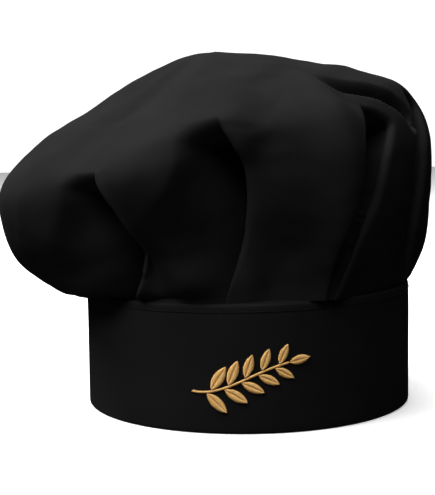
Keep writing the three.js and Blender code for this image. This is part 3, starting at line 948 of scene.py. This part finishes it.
def stitches(name, corners, radius_at, out, body):
    """Stitches along a route of azimuths and heights. out is 1 on an outer face and -1 on the lining."""
    corners = np.array(corners, float)
    flat = np.stack([np.radians(corners[:, 0]) * BAND_RADIUS, corners[:, 1]], -1)
    length = np.concatenate([[0], np.cumsum(np.linalg.norm(np.diff(flat, axis=0), axis=1))])
    starts = np.arange(0, length[-1] - STITCH_LENGTH, STITCH_PITCH)
    share = np.linspace(0, 1, 8)
    at = starts[:, None] + share * STITCH_LENGTH
    azimuth = np.interp(at, length, corners[:, 0])
    height = np.interp(at, length, corners[:, 1])
    arch = np.sin(math.pi * share) ** 0.6
    radius = radius_at(azimuth) + out * (THREAD_RADIUS * 1.3 * arch - 0.0001)
    paths = round_head(azimuth, radius, height)
    thin = THREAD_RADIUS * (0.55 + 0.45 * arch)
    piece = strands(name, paths, round_head(azimuth, out, 0), thin, sewing_thread)
    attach(piece, body)
    return piece


def frame_route(start, end):
    """Azimuths and heights round a tape, with each corner taken in two steps."""
    cut = FRAME_CORNER
    low, high = FRAME_LOW, FRAME_HIGH
    route = [(start, low), (end, low), (end, high), (start, high), (start, low + cut)]
    reach = np.degrees(cut / BAND_RADIUS)
    rounded = [route[0]]
    for before, corner, after in zip(route, route[1:], route[2:]):
        for other in (before, after):
            shift_azimuth = np.clip(other[0] - corner[0], -reach, reach)
            shift_height = np.clip(other[1] - corner[1], -cut, cut)
            rounded.append((corner[0] + shift_azimuth, corner[1] + shift_height))
    return rounded + [route[-1]]


sewing_thread = black_thread("sewing_thread", 0.016, 0.0009)
round_band = np.arange(LAP_START - 360 + 0.8, BAND_END - 0.6, 1.0)
top_route = np.stack([round_band, top_edge(round_band) - STITCH_ROW], -1)
tab_route = [(azimuth, TAB_MARGIN + TAB_ROW) for azimuth in (164, 172, 181, 188, 192)]
tab_route += [(194.6, 0.0085), (196.0, 0.0135), (196.6, 0.020), (196.6, BAND_HEIGHT / 2)]
tab_route += [(azimuth, BAND_HEIGHT - height) for azimuth, height in tab_route[-2::-1]]
for row, sewn_node, route, face, out, body in (
    ("band_top_stitches", "band_top_stitch", top_route, BAND_RADIUS - 0.0002, 1, "hat"),
    ("hook_tape_stitches", "hook_stitch", frame_route(169.5, 193.5), 0.1005, 1, "closure_tab"),
    ("loop_tape_stitches", "loop_stitch", frame_route(-192.5, -147.5), OPENING_RADIUS, -1, "hat"),
    ("band_end_stitches", "band_end_stitch", [(-195, 0.004), (-195, 0.062)], OPENING_RADIUS, -1, "hat"),
    ("tab_edge_stitches", "tab_edge_stitch", tab_route, 0.1004, 1, "closure_tab"),
):
    climbs = row == "band_top_stitches"
    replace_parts(stitches(row, route, lambda azimuth: face + climb(azimuth) * climbs, out, body), sewn_node)


# Labels. Two blank tapes of white woven satin, cut to length, that hang inside the band near the back. Each is
# sewn to the lining by its upper edge.

LABEL_RADIUS = 0.0912


def satin():
    """White woven satin with fine lengthwise floats."""
    material, tree = new_material("label_satin")
    inputs = {"Vector": cloth_place(tree), "Scale": (4200, 500, 1)}
    floats = noise(tree, node(tree, "ShaderNodeMapping", inputs).outputs[0], 1.0, 2.0)
    finish(tree, {
        "Base Color": between(tree, floats, (0.68, 0.67, 0.64, 1), (0.88, 0.87, 0.84, 1)),
        "Normal": raised(tree, floats, 0.3, 0.00005),
        "Roughness": 0.38,
        "Anisotropic": 0.5,
    })
    return material


def label(name, node_name, start, end, low, high):
    """A label that hangs from its upper edge and curls a little away from the lining."""
    azimuth = np.linspace(start, end, 24)[:, None]
    rise = np.linspace(0, 1, 26)
    hang = 1 - rise
    curl = 0.0007 * hang**2 * np.sin(math.pi * (azimuth - start) / (end - start)) + 0.0004 * hang**3
    radius = LABEL_RADIUS + climb(azimuth) - curl
    height = low + rise * (high - low)
    cloth = np.stack(np.broadcast_arrays(np.radians(azimuth) * LABEL_RADIUS, height), -1)
    piece = grid_mesh(name, round_head(azimuth, radius, height), cloth, wrap=False)
    piece.data.materials.append(label_satin)
    thicken(piece, 0.0003, 0)
    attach(piece, "hat")
    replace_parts(piece, node_name)
    tacks = [(start + 0.8, high - 0.0015), (end - 0.6, high - 0.0015)]
    stitches(f"{name}_stitches", tacks, lambda at: LABEL_RADIUS - 0.0001 + climb(at), -1, "hat")


label_satin = satin()
label("care_label_blank", "care_label", 120, 136, 0.028, 0.064)
label("size_label_blank", "size_label", 139, 147, 0.050, 0.064)


# Embroidery. A leafy sprig in golden rayon on the front of the band: each leaf is two rows of slanting satin
# stitch that meet along its vein, over a padded middle, and the stem is one narrow row.

SPRIG_HEIGHT = 0.032
SPRIG_FACE = BAND_RADIUS + 0.0002
STEM = [(-0.030, -0.009), (-0.014, -0.012), (0.002, 0.002), (0.021, 0.006)]
LEAF_PAIRS = 5
LEAF_LENGTH = 0.0145
LEAF_WIDTH = 0.0062
LEAF_SPREAD = math.radians(48)
LEAF_CLEAR = 0.0013
SATIN_PITCH = 0.00034
SATIN_RADIUS = 0.00023
SATIN_FLAT = 0.75


def on_front(x, y, out):
    """Points of the flat pattern, laid round the front of the band."""
    return round_head(np.degrees(x / BAND_RADIUS), SPRIG_FACE + out, SPRIG_HEIGHT + y)


def golden_rayon():
    """Golden orange rayon: each strand has a soft shine across it."""
    material, tree = new_material("golden_rayon")
    plies = ply_bands(tree, 0.0007)
    lots = noise(tree, node(tree, "ShaderNodeTexCoord").outputs["Object"], 900.0, 2.0)
    # Uneven dye, and lighter on the plies: painted shade between them.
    dye_and_ply_shade = math_node(tree, "MULTIPLY_ADD", lots, 0.8, math_node(tree, "MULTIPLY", plies, 0.25))
    finish(tree, {
        "Base Color": between(tree, dye_and_ply_shade, (0.96, 0.45, 0.1, 1), (1.0, 0.68, 0.25, 1)),
        "Normal": raised(tree, plies, 0.4, 0.00005),
        "Roughness": 0.35,
        "Specular IOR Level": 0.6,
    })
    return material


def bezier(points, share):
    """Points at shares of the way along a curve with two handles."""
    a, b, c, d = (np.array(point) for point in points)
    t = np.asarray(share, float)[..., None]
    return a * (1 - t) ** 3 + 3 * b * t * (1 - t) ** 2 + 3 * c * t**2 * (1 - t) + d * t**3


def satin_row(starts, ends, height):
    """Strands from starts to ends on the flat pattern, bowed up to a height."""
    bow = np.linspace(0, 1, 8)[:, None]
    flat = starts[:, None] + (ends - starts)[:, None] * bow
    lift = height * np.sin(math.pi * bow[:, 0]) ** 0.7 + 0.0001
    out = round_head(np.degrees(flat[..., 0] / BAND_RADIUS), 1, 0)
    return on_front(flat[..., 0], flat[..., 1], lift), out


def leaf(name, base, direction, length, width):
    """One leaf, from its base on the stem, with its vein along direction."""
    chance = np.random.default_rng(len(name) * 7 + int(1e6 * abs(base[0])) % 97)
    outline = [(0, 0), (0.25 * length, 0.62 * width), (0.7 * length, 0.62 * width), (length, 0)]
    edge = bezier(outline, np.linspace(0, 1, 200))
    vein = (math.cos(direction), math.sin(direction))
    turn = np.array([vein, (-vein[1], vein[0])])
    veins = np.arange(0.0002, length - 0.0002, SATIN_PITCH)
    paths = []
    outs = []
    for side in (1, -1):
        tips = np.minimum(veins + 0.28 * width * np.sin(math.pi * veins / length), length * 0.995)
        reach = np.interp(tips, edge[:, 0], edge[:, 1]) + chance.normal(0, 0.00006, veins.shape)
        starts = np.stack([veins, np.full(veins.shape, -side * 0.00005)], -1)
        ends = np.stack([tips, side * np.maximum(reach, 0.0002)], -1)
        path, out = satin_row(base + starts @ turn, base + ends @ turn, 0.0005)
        paths.append(path)
        outs.append(out)
    satin_piece(name, np.concatenate(paths), np.concatenate(outs))


def satin_piece(name, paths, outs):
    piece = strands(f"{name}_satin", paths, outs, SATIN_RADIUS, rayon, flat=SATIN_FLAT)
    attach(piece, "hat")
    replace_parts(piece, name)


def sprig():
    """The stem, its pairs of leaves, which get smaller along it, and the leaf at its tip."""
    fine = np.linspace(0, 1, 800)
    route = bezier(STEM, fine)
    steps = np.concatenate([[0], np.cumsum(np.linalg.norm(np.diff(route, axis=0), axis=1))])
    spots = np.interp(np.arange(0, steps[-1], SATIN_PITCH), steps, fine)
    middle = bezier(STEM, spots)
    further = np.minimum(spots + 0.001, 1)
    ahead = bezier(STEM, further) - bezier(STEM, further - 0.002)
    ahead /= np.linalg.norm(ahead, axis=-1, keepdims=True)
    aside = np.stack([-ahead[:, 1], ahead[:, 0]], -1)
    slant = aside * 0.0005 + ahead * 0.0004
    satin_piece("sprig_stem", *satin_row(middle - slant, middle + slant, 0.0003))
    for pair in range(LEAF_PAIRS):
        for side, word in ((1, "upper"), (-1, "lower")):
            along = 0.13 + pair * 0.18 + (0.05 if side > 0 else 0)
            at = np.interp(along * steps[-1], steps, fine)
            base = bezier(STEM, at)
            heading = bezier(STEM, at + 0.001) - bezier(STEM, at - 0.001)
            direction = math.atan2(heading[1], heading[0]) + side * LEAF_SPREAD
            size = 1 - 0.06 * pair
            base = base + LEAF_CLEAR * np.array([math.cos(direction), math.sin(direction)])
            leaf(f"sprig_leaf_{word}_{pair + 1}", base, direction, LEAF_LENGTH * size, LEAF_WIDTH * size)
    heading = bezier(STEM, 1) - bezier(STEM, 0.99)
    direction = math.atan2(heading[1], heading[0])
    base = bezier(STEM, 1) + 0.0008 * np.array([math.cos(direction), math.sin(direction)])
    leaf("sprig_leaf_tip", base, direction, LEAF_LENGTH * 0.78, LEAF_WIDTH * 0.8)


rayon = golden_rayon()
sprig()


# Floor and light. A white table under a white room, lit by broad soft lamps from the upper left, from above
# and from behind.

LAMP_DISTANCE = 1.6
LAMP_SIZE = 1.0


def lamp(name, azimuth, elevation, watts):
    """A round, soft lamp that faces the middle of the hat."""
    light = bpy.data.lights.new(name, "AREA")
    light.shape = "DISK"
    light.size = LAMP_SIZE
    light.energy = watts
    placed = bpy.data.objects.new(name, light)
    bpy.context.scene.collection.objects.link(placed)
    aim = Vector((0, 0, 0.11))
    turn = math.radians(azimuth)
    rise = math.radians(elevation)
    away = Vector((math.cos(rise) * math.sin(turn), -math.cos(rise) * math.cos(turn), math.sin(rise)))
    placed.location = aim + away * LAMP_DISTANCE
    placed.rotation_euler = away.to_track_quat("Z", "Y").to_euler()


lamp("left_back_lamp", -120, 50, 36)
lamp("left_front_lamp", -60, 50, 21)
lamp("overhead_lamp", 0, 85, 16)
lamp("back_lamp", 180, 50, 12)
lamp("front_lamp", 0, 50, 8.5)
lamp("low_right_lamp", 135, 15, 0.9)
lamp("low_left_lamp", -135, 15, 1.2)


def seen_or_not(tree, unseen, seen, output):
    """One shader for what the eye sees directly, and another for all other light."""
    ray = node(tree, "ShaderNodeLightPath").outputs["Is Camera Ray"]
    chosen = node(tree, "ShaderNodeMixShader", {0: ray, 1: unseen.outputs[0], 2: seen.outputs[0]})
    tree.links.new(chosen.outputs[0], tree.nodes[output].inputs[0])


floor = bpy.data.objects.new("floor", bpy.data.meshes.new("floor"))
floor.data.from_pydata([(-3, -3, 0), (3, -3, 0), (3, 3, 0), (-3, 3, 0)], [], [(0, 1, 2, 3)])
bpy.context.scene.collection.objects.link(floor)
white_table, table_tree = new_material("white_table")
plain = node(table_tree, "ShaderNodeBsdfDiffuse", {"Color": (0.9, 0.9, 0.9, 1)})
glow = node(table_tree, "ShaderNodeEmission", {"Strength": 0.35})
bright = node(table_tree, "ShaderNodeAddShader", {0: plain.outputs[0], 1: glow.outputs[0]})
bounced = node(table_tree, "ShaderNodeBsdfDiffuse", {"Color": (0.07, 0.07, 0.07, 1)})
seen_or_not(table_tree, bounced, bright, "Material Output")
floor.data.materials.append(white_table)

room = bpy.data.worlds.new("white_room")
bpy.context.scene.world = room
room.use_nodes = True
room_tree = room.node_tree
around = node(room_tree, "ShaderNodeBackground", {"Color": (1, 1, 1, 1), "Strength": 0.0})
backdrop = node(room_tree, "ShaderNodeBackground", {"Color": (1, 1, 1, 1), "Strength": 1.2})
seen_or_not(room_tree, around, backdrop, "World Output")
bpy.context.scene.view_settings.view_transform = "Standard"
